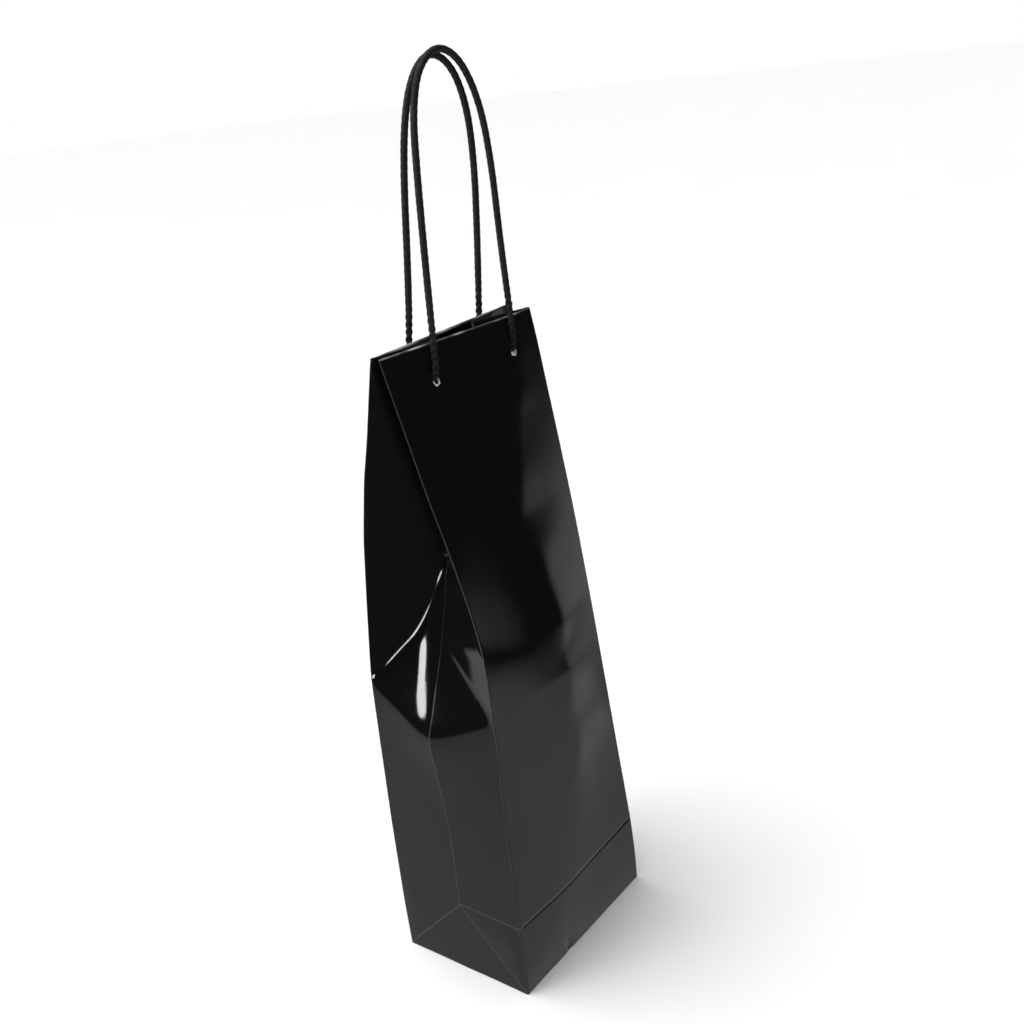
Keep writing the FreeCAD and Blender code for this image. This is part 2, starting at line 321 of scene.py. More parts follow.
def smoothLine(points, spread):
    # an even, softened line through the points, read by its share of the paper's height
    points = np.array(points, float)
    gone = np.concatenate([[0], np.cumsum(np.linalg.norm(np.diff(points, axis=0), axis=1))])
    even = np.linspace(0, gone[-1], 701)
    line = np.stack([np.interp(even, gone, points[:, k]) for k in range(3)], 1)
    reach = 60
    ends = np.concatenate([2 * line[0] - line[reach:0:-1], line, 2 * line[-1] - line[-2:-reach - 2:-1]])
    weight = np.exp(-0.5 * (np.arange(-reach, reach + 1) * 0.5 / spread) ** 2)
    weight /= weight.sum()
    soft = np.stack([np.convolve(ends[:, k], weight, "valid") for k in range(3)], 1)

    def at(height):
        share = np.clip(np.asarray(height, float), 0, bag["height"]) / bag["height"] * 700
        return np.stack([np.interp(share, np.arange(701), soft[:, k]) for k in range(3)], -1)
    return at


frontLeft, frontRight = smoothLine(bag["frontLeft"], 5), smoothLine(bag["frontRight"], 9)
backLeft, backRight = smoothLine(bag["backLeft"], 5), smoothLine(bag["backRight"], 7)
creaseLeft = smoothLine(bag["creaseLeft"], 3)


def ease(value, low, high):
    t = np.clip((np.asarray(value, float) - low) / (high - low), 0, 1)
    return t * t * (3 - 2 * t)


def sway(across, height, seed):
    # soft unevenness of hand-folded paper, in millimetres
    a, h = across / halfWidth, height / bag["height"]
    rolls = (math.sin(seed), math.cos(2.3 * seed), math.sin(3.1 * seed + 1))
    return (0.55 * np.sin(2.1 * a + 7 * h + 3 * rolls[0]) + 0.35 * np.sin(4.3 * a - 9 * h + 4 * rolls[1])
            + 0.2 * np.sin(7.1 * a + 17 * h + 5 * rolls[2]))


def panelSurface(left, right, out, seed):
    def at(across, height):
        u = ((across + halfWidth) / bag["width"])[..., None]
        point = left(height) * (1 - u) + right(height) * u
        shaped(point, across, height, out, seed)
        return point
    return at


def shaped(point, across, height, out, seed):
    # unevenness, a slight belly and the pressed line above the base
    calm = (1 - (across / halfWidth) ** 2).clip(0, 1) * ease(height, 0, 45) * (1 - ease(height, 300, 345))
    belly = 1.3 * ease(height, 5, 60) * (1 - ease(height, 110, 190)) * (1 - (across / halfWidth) ** 2)
    press = -0.28 * np.exp(-((height - bag["baseFold"]) / 0.7) ** 2)
    press = press * ease(halfWidth - np.abs(across), 0, 4)
    point[..., 1] += out * (0.9 * calm * sway(across, height, seed) + belly + press)


# how the front bends: flat from its left fold to a soft upright bend, then turned back to its right fold
frontBend = {
    "height": (0, 35, 84, 133, 164, 193, 252, 300, 345),
    "turn": (0, 1.3, 5.5, 9.5, 13, 13.5, 8, 4.5, 2.6),
    "from": (0.5, 0.5, 0.52, 0.58, 0.6, 0.58, 0.56, 0.68, 0.87),
    "soft": 0.035,
    "dip": (0.32, 0.27, 17), "dent": (-16, 2.0, 0.9),
}


def frontSurface(across, height):
    across, height = np.broadcast_arrays(np.asarray(across, float), np.asarray(height, float))
    u = (across + halfWidth) / bag["width"]
    turn = np.interp(height, frontBend["height"], frontBend["turn"])
    start = np.interp(height, frontBend["height"], frontBend["from"])
    turn = turn * (1 + 0.03 * np.sin(height / 14))
    waver = 0.022 * np.sin(height / 15) + 0.013 * np.sin(height / 6.1 + 1)
    start = start + waver * (1 - ease(height, 300, 345))

    def ramp(t):
        return (t - start + np.sqrt((t - start) ** 2 + frontBend["soft"] ** 2)) / 2
    share = (ramp(u) - ramp(0)) / (ramp(1) - ramp(0))
    middle, spread, drop = frontBend["dip"]
    lowered = drop * (np.exp(-((u - middle) / spread) ** 2) - np.exp(-(middle / spread) ** 2) * (1 - u)) \
        * (1 - ease(height, 225, 330)) * ease(height, 95, 145)
    first, last = frontLeft(height + lowered), frontRight(height)
    point = frontLeft(height) * (1 - u[..., None]) + last * u[..., None]
    point[..., 0] = across
    point[..., 1] = first[..., 1] * (1 - u) + (last[..., 1] - turn) * u + turn * share
    shaped(point, across, height, -1, 1.0)
    spot, wide, deep = frontBend["dent"]
    point[..., 1] += deep * np.exp(-((across - spot + 0.3 * height) / wide) ** 2) * (1 - ease(height, 3, 13))
    return point


backSurface = panelSurface(backLeft, backRight, 1, 2.2)


# the left side's flat facets: way from the crease and height on the opened-out paper, then place
cornerPoint = {
    "front": {
        "foot": ((0, 0), (-56.5, 0, 0)), "corner": ((41.5, 0), (-56.5, -41.5, 0)),
        "start": ((0, 147), (-56.5, 0, 147)), "low": ((41.5, 165), (-56.5, -41.6, 165)),
        "mid": ((0, 197), (-40.7, 0, 193.6)), "high": ((41.5, 204), (-56.5, -40.7, 204)),
        "apex": ((0, 239.5), (-28, 0, 235)), "top": ((0, 350), (-15.2, 1.7, 345)),
        "tip": ((41.5, 350), (-56.5, -1, 345)),
    },
    "back": {
        "foot": ((0, 0), (-56.5, 0, 0)), "corner": ((41.5, 0), (-56.5, 41.5, 0)),
        "start": ((0, 146), (-56.5, 0, 146)), "low": ((27, 152), (-56.5, 27, 152)),
        "kink": ((41.5, 171.5), (-56.5, 39.3, 171.5)),
        "r1": ((32.4, 178.4), (-50.3, 32.3, 177.6)), "r2": ((23.4, 188.6), (-44.1, 24.6, 187)),
        "r3": ((15.4, 197.6), (-38.6, 17.8, 195.2)), "r4": ((11.1, 205.3), (-35.6, 13.6, 202.4)),
        "r5": ((7.5, 213.9), (-33.2, 9.7, 210.6)), "r6": ((2.7, 229.2), (-29.9, 3.7, 225.1)),
        "apex": ((0, 239.5), (-28, 0, 235)), "top": ((0, 350), (-15.2, 1.7, 345)),
        "tip": ((41.5, 350), (-56.5, 4.6, 345.3)),
    },
}
facets = {
    "front": "foot corner low,foot low start,start low mid,mid low high,mid high apex,high tip apex,"
             "apex tip top",
    "back": "foot corner kink,foot kink low,foot low start,start low kink,start kink r1,start r1 r2,"
            "start r2 r3,start r3 r4,start r4 r5,start r5 r6,start r6 apex,kink tip r1,r1 tip r2,"
            "r2 tip r3,r3 tip r4,r4 tip r5,r5 tip r6,r6 tip apex,apex tip top",
}


def facetted(end):
    spots = cornerPoint[end]

    def at(p, s):
        p, s = np.clip(p, 0, halfDepth), np.clip(s, 0, 350)
        made, best = np.zeros(p.shape + (3,)), np.full(p.shape, -1e9)
        for names in facets[end].split(","):
            ((ax, ay), A), ((bx, by), B), ((cx, cy), C) = (spots[n] for n in names.split())
            A, B, C = (np.array(k, float) for k in (A, B, C))
            area = (bx - ax) * (cy - ay) - (cx - ax) * (by - ay)
            v = ((p - ax) * (cy - ay) - (cx - ax) * (s - ay)) / area
            w = ((bx - ax) * (s - ay) - (p - ax) * (by - ay)) / area
            inside = np.minimum(np.minimum(v, w), 1 - v - w)
            better = inside > best
            best = np.where(better, inside, best)
            made[better] = ((1 - v - w)[..., None] * A + v[..., None] * B + w[..., None] * C)[better]
        return made
    return at


def leftGusset(end):
    out, edge = (-1, frontLeft) if end == "front" else (1, backLeft)
    flats = facetted(end)

    def blurred(p, s):
        # softest beside the crease, where the paper was pushed in by hand
        spread = 2.2 + 3.4 * np.exp(-((p - 7) / 8) ** 2 - ((s - 172) / 24) ** 2)
        total, made = 0, 0
        for i in range(-3, 4):
            for j in range(-3, 4):
                weight = math.exp(-0.5 * ((i / 1.5) ** 2 + (j / 1.5) ** 2))
                made = made + weight * flats(p + i * spread / 1.5, s + j * spread / 1.5)
                total += weight
        return made / total

    def at(p, s):
        # p is the way from the crease, 0, to the upright fold, halfDepth
        p, s = np.broadcast_arrays(np.asarray(p, float), np.asarray(s, float))
        u = (p / halfDepth)[..., None]
        rim = edge(s)
        rim[..., 1] -= out * bag["cornerRound"]
        point = blurred(p, s)
        point = point + u ** 2 * (rim - blurred(np.full(p.shape, halfDepth), s)) \
            + (1 - u) ** 2 * (creaseLeft(s) - blurred(np.zeros(p.shape), s))
        # the base fold's pressed facets stand a little apart
        side = 1 if end == "front" else 0.6
        above = np.clip(p / halfDepth - (bag["baseFold"] - s) / bag["baseFold"], 0, 1) * (s < bag["baseFold"])
        lift = side * 1.1 * above * np.clip((bag["baseFold"] - s) / 14, 0, 1) * (1 - ease(p, 33, halfDepth))
        point[..., 0] -= lift
        return tucked(point, s, out, -1)
    return at


def tucked(point, s, end, side):
    # at the top the gusset lies inside the turned-in edge and board of its panel
    panel = frontSurface if end < 0 else backSurface
    wall = panel(np.clip(point[..., 0], -halfWidth, halfWidth), s)[..., 1]
    far = np.abs(point[..., 0] - side * halfWidth)
    room = 0.6 + 1.15 * ease(s, 285, 308) * ease(far, 0, 3)
    point = point.copy()
    if end < 0:
        point[..., 1] = np.maximum(point[..., 1], wall + room)
    else:
        point[..., 1] = np.minimum(point[..., 1], wall - room)
    return point


def creaseRight(s):
    front, back = frontRight(s), backRight(s)
    half = np.clip((back[..., 1] - front[..., 1]) / 2, 0, halfDepth)
    sunk = np.sqrt(np.maximum(halfDepth ** 2 - half ** 2, 0)) * ease(s, 44, 150)
    middle = (front + back) / 2
    return np.stack([halfWidth - sunk, middle[..., 1], middle[..., 2]], -1)


def rightGusset(end):
    edge = frontRight if end < 0 else backRight

    def at(p, s):
        p, s = np.broadcast_arrays(np.asarray(p, float), np.asarray(s, float))
        u = (p / halfDepth)[..., None]
        rim = edge(s)
        rim[..., 1] -= end * bag["cornerRound"]
        point = creaseRight(s) * (1 - u) + rim * u
        bow = np.sin(math.pi * p / halfDepth) * ease(s, 10, 60) * (1 - ease(s, 250, 330))
        point[..., 0] += 0.8 * bow
        return tucked(point, s, end, 1)
    return at


leftHalves = {"front": leftGusset("front"), "back": leftGusset("back")}
rightHalves = {"front": rightGusset(-1), "back": rightGusset(1)}


def inwardOf(surface, across, height, toward):
    # unit normal that points to the inside of the bag
    e = 0.25
    along = surface(across + e, height) - surface(across - e, height)
    up = surface(across, height + e) - surface(across, height - e)
    normal = np.cross(along, up)
    normal /= np.maximum(np.linalg.norm(normal, axis=-1, keepdims=True), 1e-9)
    facing = np.sum(normal * toward, axis=-1, keepdims=True)
    return normal * np.where(facing < 0, -1, 1)


# sheets of paper

def foldOver(rows, drop, depth):
    # carries the rows over the top edge and down the inside
    top, r = bag["height"], depth / 2
    made = [(s, 0) for s in rows if s < top - r - 0.2]
    made += [(top - r + r * math.sin(t), r * (1 - math.cos(t))) for t in np.linspace(0, math.pi, 9)]
    made += [(s, depth) for s in np.linspace(top - r - 2, top - drop, 14)]
    return made


def sheetPiece(name, surface, toward, columns, rows, materials, holes=(), narrow=1.0, deepest=1.5,
               edgeRound=0.0, thickness=None):
    # columns and rows span the opened-out sheet; a row is (height, depth below the face)
    columns, rows = np.array(columns, float), list(rows)
    heights = np.array([row[0] for row in rows])
    depths = np.array([row[1] for row in rows])
    lowest, highest = columns.min(), columns.max()

    def place(a, s, d):
        a, s, d = (np.asarray(k, float) for k in (a, s, d))
        share = np.clip(d / deepest, 0, 1)
        inner = a * (1 - share * (1 - narrow))
        gap = np.minimum(inner - lowest, highest - inner)
        if edgeRound:
            turn = np.clip(edgeRound - gap, 0, edgeRound)
            d = d + (edgeRound - np.sqrt(edgeRound ** 2 - turn ** 2)) * (1 - share)
        return surface(inner, s) + d[..., None] * inwardOf(surface, inner, np.minimum(s, 349.5), toward)

    grid = bmesh.new()
    flat = grid.loops.layers.uv.new("paper")
    blocked = set()
    for i in range(len(columns) - 1):
        for j in range(len(rows) - 1):
            a, s = (columns[i] + columns[i + 1]) / 2, (heights[j] + heights[j + 1]) / 2
            if abs(depths[j] - depths[j + 1]) < 1e-6 and any(
                    abs(a - h[0]) < 4.2 and abs(s - h[1]) < 4.2 for h in holes):
                blocked.add((i, j))
    corner = {}
    for j in range(len(rows)):
        for i in range(len(columns)):
            corner[i, j] = grid.verts.new((columns[i], heights[j], depths[j]))
    for i in range(len(columns) - 1):
        for j in range(len(rows) - 1):
            if (i, j) not in blocked:
                grid.faces.new((corner[i, j], corner[i + 1, j], corner[i + 1, j + 1], corner[i, j + 1]))
    # a punched hole in each blocked patch: the patch's rim is drawn in to a circle
    for hole in holes:
        for layer in sorted({depths[j] for _, j in blocked}):
            cells = [(i, j) for i, j in blocked if abs(depths[j] - layer) < 1e-6
                     and abs((columns[i] + columns[i + 1]) / 2 - hole[0]) < 4.5]
            if not cells:
                continue
            edges = {}
            for i, j in cells:
                loop = [(i, j), (i + 1, j), (i + 1, j + 1), (i, j + 1)]
                for k in range(4):
                    edges[loop[k], loop[(k + 1) % 4]] = True
            rimEdges = {a: b for a, b in edges if (b, a) not in edges}
            start = next(iter(rimEdges))
            loop, at = [start], rimEdges[start]
            while at != start:
                loop.append(at)
                at = rimEdges[at]
            rings = [[corner[key] for key in loop]]
            for share in (0.5, 0.85, 1.0):
                ring = []
                for key in loop:
                    a, s = columns[key[0]] - hole[0], heights[key[1]] - hole[1]
                    away = math.hypot(a, s)
                    ragged = 1 + 0.05 * math.sin(3 * math.atan2(s, a) + hole[0]) * share
                    target = away + (hole[2] * ragged - away) * share
                    rimSpot = (hole[0] + a * target / away, hole[1] + s * target / away, layer)
                    ring.append(grid.verts.new(rimSpot))
                rings.append(ring)
            for one, two in zip(rings, rings[1:]):
                for k in range(len(loop)):
                    n = (k + 1) % len(loop)
                    grid.faces.new((one[k], one[n], two[n], two[k]))
    grid.verts.index_update()
    for vert in [v for v in grid.verts if not v.link_faces]:
        grid.verts.remove(vert)
    for face in grid.faces:
        for loop in face.loops:
            loop[flat].uv = (loop.vert.co.x * mm, loop.vert.co.y * mm)
    flatPlaces = np.array([v.co[:] for v in grid.verts])
    solid = place(flatPlaces[:, 0], flatPlaces[:, 1], flatPlaces[:, 2]) * mm
    for vert, co in zip(grid.verts, solid):
        vert.co = Vector(co)
    grid.normal_update()
    # every face looks out of the bag
    if next(iter(grid.faces)).normal.dot(Vector(toward)) > 0:
        bmesh.ops.reverse_faces(grid, faces=grid.faces[:])
    mesh = bpy.data.meshes.new(name)
    grid.to_mesh(mesh)
    grid.free()
    piece = bpy.data.objects.new(name, mesh)
    bpy.context.scene.collection.objects.link(piece)
    for material in materials:
        mesh.materials.append(material)
    pick(piece)
    wall = piece.modifiers.new("thickness", "SOLIDIFY")
    wall.thickness = (thickness or bag["paper"]) * mm
    wall.offset = -1
    wall.material_offset = 1 if len(materials) > 1 else 0
    wall.material_offset_rim = 2 if len(materials) > 2 else 0
    bpy.ops.object.modifier_apply(modifier="thickness")
    bpy.ops.object.shade_smooth_by_angle(angle=math.radians(32))
    return piece


def spaced(low, high, step, extra=()):
    made = set(np.round(np.linspace(low, high, int(round((high - low) / step)) + 1), 4))
    made |= set(extra)
    return sorted(made)


# ropes: each one leaves the bag by one hole, runs up over the grip and goes back in by the other

ropes = {
    "diameter": 3.6, "strand": (1.62, 1.1), "offset": (0.14, 0.7), "lay": 7.2,
    "holes": (-26.5, 32.5), "holeHeight": 332,
    "front": [(-26.5, -2.4, 327.8), (-26.6, -7.8, 326.6), (-25.3, -7.4, 346), (-22.2, -6.2, 384),
              (-18.6, -5, 422), (-14.6, -3.6, 448), (-6, -2.6, 467), (9, -2.4, 476), (25, -2.6, 469),
              (34.8, -3.6, 448), (36.4, -5.2, 420), (35.2, -6.4, 384), (33.9, -8.6, 348),
              (33.9, -9.6, 325.4), (33.2, -3.6, 327)],
    "back": [(-26.5, 5.6, 328.6), (-26.4, 11.4, 328), (-23.6, 8.6, 348), (-20.2, 6.4, 384), (-16.8, 5, 420),
             (-12.4, 3.6, 447), (-4, 2.6, 465.5), (10, 2.4, 474), (25, 2.6, 466), (33.8, 3.6, 446),
             (35.6, 5, 418), (33.6, 6.8, 384), (31, 9, 348), (31.4, 12, 329), (32.5, 5.4, 329)],
}


def ropeLine(name):
    # one smooth line through the route; its own thickness is left at nothing
    curve = bpy.data.curves.new(name + "Line", "CURVE")
    curve.dimensions = "3D"
    curve.resolution_u = 24
    spline = curve.splines.new("NURBS")
    spline.points.add(len(ropes[name]) - 1)
    for point, place in zip(spline.points, ropes[name]):
        point.co = (place[0] * mm, place[1] * mm, place[2] * mm, 1)
    spline.order_u = 3
    spline.use_endpoint_u = True
    holder = bpy.data.objects.new(name + "Line", curve)
    bpy.context.scene.collection.objects.link(holder)
    bpy.context.view_layer.update()
    read = bpy.data.meshes.new_from_object(holder)
    path = np.array([v.co[:] for v in read.vertices])
    bpy.data.objects.remove(holder)
    bpy.data.curves.remove(curve)
    bpy.data.meshes.remove(read)
    return path


def evenPath(path, step):
    gone = np.concatenate([[0], np.cumsum(np.linalg.norm(np.diff(path, axis=0), axis=1))])
    at = np.linspace(0, gone[-1], int(gone[-1] / step) + 1)
    return np.stack([np.interp(at, gone, path[:, k]) for k in range(3)], 1), at


def ropePiece(name, yarn):
    path, at = evenPath(ropeLine(name), 0.0009)
    tangent = np.gradient(path, axis=0)
    tangent /= np.linalg.norm(tangent, axis=1, keepdims=True)
    side = np.zeros_like(path)
    lean = np.array([1.0, 0, 0]) - tangent[0] * tangent[0][0]
    side[0] = lean / np.linalg.norm(lean)
    for k in range(1, len(path)):
        lean = side[k - 1] - tangent[k] * (side[k - 1] @ tangent[k])
        side[k] = lean / np.linalg.norm(lean)
    across = np.cross(tangent, side)
    made = bmesh.new()
    flat = made.loops.layers.uv.new("paper")
    around = 12
    # pulled straight the rope is smooth, and near its holes the two strands stand out
    loose = 1 - ease(np.minimum(at, at[-1] - at), 0.012, 0.045)
    offset = ropes["offset"][0] + (ropes["offset"][1] - ropes["offset"][0]) * loose
    thick = ropes["strand"][0] + (ropes["strand"][1] - ropes["strand"][0]) * loose
    for strand in range(2):
        turn = at / (ropes["lay"] * mm) * 2 * math.pi + strand * math.pi
        uneven = 1 + (0.012 + 0.04 * loose) * np.sin(at * 310 + strand * 2 + len(name)) \
            + 0.02 * loose * np.sin(at * 830)
        core = path + offset[:, None] * mm * (np.cos(turn)[:, None] * side + np.sin(turn)[:, None] * across)
        rings = []
        for k in range(len(path)):
            ring = []
            for n in range(around):
                angle = 2 * math.pi * n / around
                reach = thick[k] * mm * uneven[k]
                radial = math.cos(angle) * side[k] + math.sin(angle) * across[k]
                ring.append(made.verts.new(core[k] + reach * radial))
            rings.append(ring)
        for k in range(len(rings) - 1):
            for n in range(around):
                m = (n + 1) % around
                face = made.faces.new((rings[k][n], rings[k][m], rings[k + 1][m], rings[k + 1][n]))
                corners = ((n, k), (n + 1, k), (n + 1, k + 1), (n, k + 1))
                for loop, (turnAt, stepAt) in zip(face.loops, corners):
                    loop[flat].uv = (turnAt / around, at[stepAt])
        made.faces.new(rings[0][::-1])
        made.faces.new(rings[-1])
    bmesh.ops.recalc_face_normals(made, faces=made.faces[:])
    mesh = bpy.data.meshes.new(name + "Rope")
    made.to_mesh(mesh)
    made.free()
    piece = bpy.data.objects.new(name + "Rope", mesh)
    bpy.context.scene.collection.objects.link(piece)
    mesh.materials.append(yarn)
    pick(piece)
    bpy.ops.object.shade_smooth()
    return piece, path, float(at[-1])


# paper

# fold and crease lines of the sheets: each is pressed in as a dent and painted a lighter grey, a painted
# highlight along the fold that is partly film stressed at the fold
pressedFront = [((-0.0565, 0.0425), (0.0565, 0.0425), 0.0006)]
foldEdges = [((-0.0565, 0), (-0.0565, 0.35), 0.0005), ((0.0565, 0), (0.0565, 0.35), 0.0005),
             ((-0.0565, 0.3499), (0.0565, 0.3499), 0.0009), ((-0.0565, 0), (0.0565, 0), 0.0006)]
pressedGusset = [((0, 0.0435), (0.0415, 0), 0.0007), ((0, 0.0435), (-0.0415, 0), 0.0006),
                 ((-0.0415, 0.0425), (0, 0.0435), 0.0006), ((0, 0.0435), (0, 0.35), 0.0006),
                 ((-0.0415, 0), (0.0415, 0), 0.0006)]
# the top fold of the front and back sheets gets patches of painted highlight
panelFilm = filmPaper("panelFilm", pressedFront + foldEdges, 1.5,
                      ((-0.0565, 0.3497), (0.0565, 0.3497), 0.0009))
gussetFilm = filmPaper("gussetFilm", pressedGusset, 2.6)
facetFilm = filmPaper("facetFilm", [((0, 0.17), (0, 0.35), 0.0005), ((0, 0.3498), (0.0415, 0.3498), 0.0005)])
plainFilm = filmPaper("plainFilm")
pulpWhite = plainPaper("pulpWhite", (0.80, 0.80, 0.78), (0.72, 0.72, 0.70))
pulpCore = plainPaper("pulpCore", (0.86, 0.86, 0.85), (0.66, 0.66, 0.65), 900)
greyBoard = boardStock("greyBoard")
blackYarn = cordYarn("blackYarn")
blackPlastic = mouldedPlastic("blackPlastic")

holeSpots = [(x, ropes["holeHeight"], 2.05) for x in ropes["holes"]]
aroundHoles = [x + d for x in ropes["holes"] for d in (-4.2, -2.8, -1.4, 0, 1.4, 2.8, 4.2)]
aroundHeights = [ropes["holeHeight"] + d for d in (-4.2, -2.8, -1.4, 0, 1.4, 2.8, 4.2)]


def cleared(values, spots, reach):
    # drops the even lines that run too near a hole's own lines
    return [v for v in values if all(abs(v - s) >= reach for s in spots)]


def panelColumns():
    r = bag["cornerRound"]
    rim = [halfWidth - r * (1 - math.sin(t)) for t in np.linspace(0, math.pi / 2, 6)]
    inner = cleared(spaced(-55, 55, 1.6), aroundHoles, 0.9)
    return sorted([-x for x in rim] + inner + rim + aroundHoles)


def panelRows():
    rows = spaced(0, 348, 2.0, (41.2, 41.7, 42.1, 42.5, 42.9, 43.3, 43.8))
    rows = cleared(rows, aroundHeights, 0.9) + aroundHeights
    made = foldOver(sorted(rows), bag["hem"], bag["panelHem"])
    down = [row for row in made if row[1] == bag["panelHem"]]
    over = [row for row in made if row[1] != bag["panelHem"]]
    hemRows = cleared([row[0] for row in down], aroundHeights, 0.9) + aroundHeights
    return over + [(s, bag["panelHem"]) for s in sorted(hemRows, reverse=True)]


def panel(name, surface, toward, end):
    piece = sheetPiece(name, surface, toward, panelColumns(), panelRows(), [panelFilm, pulpWhite, pulpCore],
                       holeSpots, narrow=54 / halfWidth, deepest=bag["panelHem"],
                       edgeRound=bag["cornerRound"])
    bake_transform(piece)
    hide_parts(f"wall_{end}", f"panel_{end}", f"hem_{end}")
    return piece


panel("frontSheet", frontSurface, (0, 1, 0), "front")
panel("backSheet", backSurface, (0, -1, 0), "back")
print("front and back sheets made")


def stiffenerBoard(name, surface, toward, end):
    columns = sorted(cleared(spaced(-53.5, 53.5, 3), aroundHoles, 0.9) + aroundHoles)
    heights = sorted(cleared(spaced(313.5, 348.6, 3), aroundHeights, 0.9) + aroundHeights)
    depth = bag["paper"] + 0.01
    piece = sheetPiece(name, surface, toward, columns, [(s, depth) for s in heights], [greyBoard], holeSpots,
                       thickness=bag["board"] - 0.04)
    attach(piece, f"{end}_panel")
    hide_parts(f"stiffener_{end}")
    return piece


stiffenerBoard("frontStiffener", frontSurface, (0, 1, 0), "front")
stiffenerBoard("backStiffener", backSurface, (0, -1, 0), "back")
print("top boards made")


def lowerGusset(name, halves, side):
    def at(a, s):
        front, back = halves["front"](np.abs(a), s), halves["back"](np.abs(a), s)
        return np.where((a < 0)[..., None], front, back)
    columns = spaced(-halfDepth, halfDepth, 1.3, (-0.3, 0.3))
    rows = [(s, 0) for s in spaced(0, 175, 2.0, (41.2, 41.7, 42.1, 42.5, 42.9, 43.3, 43.8))]
    piece = sheetPiece(name, at, (-side, 0, 0), columns, rows, [gussetFilm, pulpWhite, plainFilm])
    which = "left" if side < 0 else "right"
    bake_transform(piece)
    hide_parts(f"wall_{which}")
    return piece


lowerGusset("leftWall", leftHalves, -1)
lowerGusset("rightWall", rightHalves, 1)
print("lower side walls made")


def bendDirection(crease, edge):
    # the direction along which a half gusset goes from its crease, 0, to its upright fold, 1
    rows = [[*p, -1] for p in crease] + [[*p, -1] for p in edge]
    aims = [0] * len(crease) + [1] * len(edge)
    nx, ny, nz, level = np.linalg.lstsq(np.array(rows), np.array(aims, float), rcond=None)[0]
    n = np.array([nx, ny, nz])
    start = n * level / (n @ n)
    return start, start + n / (n @ n)


def upperGusset(name, half, side, end):
    which = "left" if side < 0 else "right"
    other = -1 if end == "front" else 1
    columns = spaced(0, halfDepth, 1.2, (0.3, 41.2))
    rows = [(170.6, 0.8), (174.9, 0.6)] + foldOver(spaced(175, 348.6, 2.0), bag["hem"], bag["gussetHem"])
    piece = sheetPiece(name, half, (side * -0.6, other, 0), columns, rows, [facetFilm, pulpWhite, plainFilm],
                       narrow=0.94, deepest=bag["gussetHem"])
    heights = np.linspace(175, 350, 12)
    crease = half(np.zeros(12), heights) * mm
    edge = half(np.full(12, halfDepth), heights) * mm
    start, stop = bendDirection(crease[2:], edge)
    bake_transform(piece)
    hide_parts(f"facet_{which}_{end}", f"facet_hem_{which}_{end}", f"fold_{which}_{end}")
    if end == "front":
        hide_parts(f"gusset_{which}")
    return piece


for side, halves in ((-1, leftHalves), (1, rightHalves)):
    for end in ("front", "back"):
        upperGusset(("left" if side < 0 else "right") + end.capitalize() + "Facet", halves[end], side, end)
print("upper side folds made")


seamFlap = {"from": -56.0, "to": -41.4, "top": 308}


def gluedSeam():
    # the strip of the left side that is glued to the inside of the back
    columns = spaced(seamFlap["from"], seamFlap["to"], 1.5)
    rows = [(s, 0.38) for s in spaced(3, seamFlap["top"], 4)]
    piece = sheetPiece("gluedSeam", backSurface, (0, -1, 0), columns, rows, [pulpWhite, pulpWhite, pulpCore])
    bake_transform(piece)
    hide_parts("glue_flap_lower", "glue_flap_upper")
    return piece


gluedSeam()
print("glued seam made")


# moulded bars that hold the rope ends inside

barShape = {"length": 14, "width": 4, "thickness": 1.3, "round": 0.5, "waist": 0.82}


def ropeBar(name, surface, toward, x, end):
    noSelection()
    bpy.ops.mesh.primitive_cube_add(size=1, location=(0, 0, 0))
    piece = bpy.context.active_object
    piece.name = piece.data.name = name
    piece.scale = (barShape["width"] * mm, barShape["thickness"] * mm, barShape["length"] * mm)
    bpy.ops.object.transform_apply(location=False, rotation=False, scale=True)
    bpy.ops.object.mode_set(mode="EDIT")
    bpy.ops.mesh.select_all(action="SELECT")
    bpy.ops.mesh.subdivide(number_cuts=3)
    bpy.ops.object.mode_set(mode="OBJECT")
    for vert in piece.data.vertices:  # narrower at the middle, where the rope is moulded in
        closeness = 1 - min(1, abs(vert.co.z) / (barShape["length"] * mm * 0.25))
        vert.co.x *= 1 - (1 - barShape["waist"]) * closeness
    bevel = piece.modifiers.new("round", "BEVEL")
    bevel.width, bevel.segments, bevel.limit_method = barShape["round"] * mm, 3, "ANGLE"
    bpy.ops.object.modifier_apply(modifier="round")
    spot = surface(np.array([x]), np.array([float(ropes["holeHeight"])]))[0]
    normal = inwardOf(surface, np.array([x]), np.array([float(ropes["holeHeight"])]), toward)[0]
    up = surface(np.array([x]), np.array([ropes["holeHeight"] + 4.0]))[0] - spot
    up /= np.linalg.norm(up)
    across = np.cross(normal, up)
    centre = (spot + normal * (bag["panelHem"] + 0.75)) * mm
    turn = Matrix(((across[0], normal[0], up[0], centre[0]), (across[1], normal[1], up[1], centre[1]),
                   (across[2], normal[2], up[2], centre[2]), (0, 0, 0, 1)))
    piece.data.transform(turn)
    if turn.determinant() < 0:
        piece.data.flip_normals()
    piece.data.materials.append(blackPlastic)
    pick(piece)
    bpy.ops.object.shade_smooth_by_angle(angle=math.radians(40))
    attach(piece, f"{end}_panel")
    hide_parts(f"rope_bar_{end}_" + ("left" if x < 0 else "right"))
    return piece


for end, surface, toward in (("front", frontSurface, (0, 1, 0)), ("back", backSurface, (0, -1, 0))):
    [ropeBar(end + ("LeftBar" if x < 0 else "RightBar"), surface, toward, x, end)
                 for x in ropes["holes"]]
print("rope bars made")

